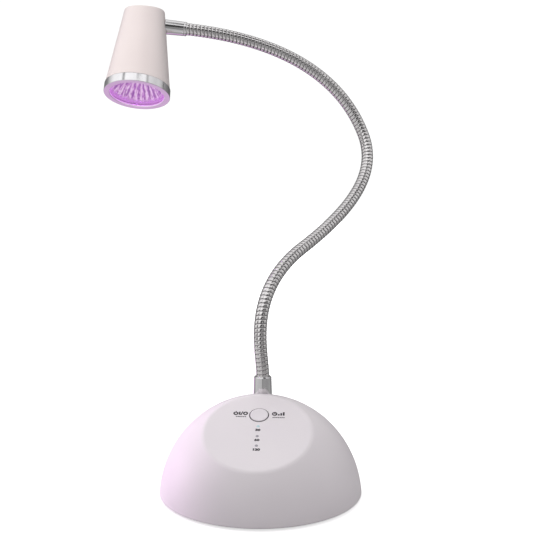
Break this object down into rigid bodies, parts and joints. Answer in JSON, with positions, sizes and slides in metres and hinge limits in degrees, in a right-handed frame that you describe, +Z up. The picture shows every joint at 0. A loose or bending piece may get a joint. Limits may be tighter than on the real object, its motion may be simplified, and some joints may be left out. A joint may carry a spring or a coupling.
{
  "type": "uv curing lamp",
  "caption": "Desk curing lamp: a weighted dome base with a sloped button panel, a bendable metal gooseneck and a small tapered ultraviolet lamp head.",
  "frame": {"origin": "centre of the underside of the foot pad", "axes": "+Z up; -Y is the front of the dome, where the button panel slopes; the head hangs towards -X"},
  "size_m": [0.1658, 0.1593, 0.2793],
  "materials": {
    "white_plastic": "satin white moulding",
    "warm_white_plastic": "satin warm white moulding",
    "button_plastic": "satin",
    "inner_plastic": "plain moulding",
    "chrome": "polished",
    "neck_chrome": "polished, ribbed",
    "steel": "plain zinc",
    "aluminium": "bare",
    "reflector_mirror": "vacuum metallised",
    "rubber": "matt",
    "circuit_board": "solder mask",
    "black_plastic": "moulded",
    "clear_plastic": "clear, polished",
    "indicator_plastic": "light pipe",
    "led_yellow": "phosphor and lens",
    "lead_sheath": "two-core sheath"
  },
  "bodies": {
    "base": {"base_shell": "white_plastic", "base_plate": "inner_plastic", "foot_pad": "rubber", "ballast_plate": "steel", "ballast_screw_1": "steel", "ballast_screw_2": "steel", "plate_screw_1": "steel", "plate_screw_2": "steel", "plate_screw_3": "steel", "plate_screw_4": "steel", "main_board": "circuit_board", "usb_socket": "steel", "board_screw_1": "steel", "board_screw_2": "steel", "control_board": "circuit_board", "control_screw_1": "steel", "control_screw_2": "steel", "tact_switch": "black_plastic", "status_led_1": "led_yellow", "status_led_2": "led_yellow", "status_led_3": "led_yellow", "indicator_window_1": "indicator_plastic", "indicator_window_2": "indicator_plastic", "indicator_window_3": "indicator_plastic", "base_ferrule": "chrome", "neck_washer": "steel", "neck_nut": "steel", "neck_link_1": "neck_chrome", "lamp_lead_1": "lead_sheath"},
    "button": {"button_cap": "button_plastic", "button_plunger": "black_plastic"},
    "neck_2": {"neck_link_2": "neck_chrome", "lamp_lead_2": "lead_sheath"},
    "neck_3": {"neck_link_3": "neck_chrome", "lamp_lead_3": "lead_sheath"},
    "neck_4": {"neck_link_4": "neck_chrome", "lamp_lead_4": "lead_sheath"},
    "neck_5": {"neck_link_5": "neck_chrome", "lamp_lead_5": "lead_sheath"},
    "neck_6": {"neck_link_6": "neck_chrome", "lamp_lead_6": "lead_sheath"},
    "neck_7": {"neck_link_7": "neck_chrome", "lamp_lead_7": "lead_sheath"},
    "neck_8": {"neck_link_8": "neck_chrome", "lamp_lead_8": "lead_sheath"},
    "head": {"neck_link_9": "neck_chrome", "lamp_lead_9": "lead_sheath", "head_ferrule": "chrome", "head_nut": "steel", "head_shell": "warm_white_plastic", "head_bezel": "chrome", "front_lens": "clear_plastic", "lens_gasket": "rubber", "reflector": "reflector_mirror", "led_board": "aluminium", "led_emitter": "led_yellow", "heat_sink": "aluminium", "heat_sink_screw_1": "steel", "heat_sink_screw_2": "steel"}
  },
  "joints": [
    {"name": "button_press", "type": "slide", "parent": "base", "child": "button", "axis": [0, 0.4617, -0.887], "range_m": [0, 0.0008], "stiffness_N_per_m": 2000, "springref_m": -0.0002},
    {"name": "neck_bend_1", "type": "hinge", "parent": "base", "child": "neck_2", "pos_m": [-0.00105, 0.02129, 0.0922], "axis": [0.3547, -0.9055, 0.2328], "range_deg": [-20, 20]},
    {"name": "neck_bend_2", "type": "hinge", "parent": "neck_2", "child": "neck_3", "pos_m": [0.01183, 0.03879, 0.12212], "axis": [0.7347, 0.0368, -0.6774], "range_deg": [-20, 20]},
    {"name": "neck_bend_3", "type": "hinge", "parent": "neck_3", "child": "neck_4", "pos_m": [0.03432, 0.06202, 0.14131], "axis": [0.443, -0.7933, 0.4176], "range_deg": [-20, 20]},
    {"name": "neck_bend_4", "type": "hinge", "parent": "neck_4", "child": "neck_5", "pos_m": [0.05472, 0.08375, 0.16412], "axis": [0.804, 0.1033, -0.5856], "range_deg": [-20, 20]},
    {"name": "neck_bend_5", "type": "hinge", "parent": "neck_5", "child": "neck_6", "pos_m": [0.06189, 0.0993, 0.19652], "axis": [0.3806, -0.8811, 0.2807], "range_deg": [-20, 20]},
    {"name": "neck_bend_6", "type": "hinge", "parent": "neck_6", "child": "neck_7", "pos_m": [0.04398, 0.0992, 0.22889], "axis": [0.5791, 0.5045, 0.6404], "range_deg": [-20, 20]},
    {"name": "neck_bend_7", "type": "hinge", "parent": "neck_7", "child": "neck_8", "pos_m": [0.01422, 0.09189, 0.25036], "axis": [0.3716, -0.8614, 0.3463], "range_deg": [-20, 20]},
    {"name": "neck_bend_8", "type": "hinge", "parent": "neck_8", "child": "head", "pos_m": [-0.02068, 0.08439, 0.26199], "axis": [0.1157, 0.4145, 0.9027], "range_deg": [-20, 20]}
  ]
}
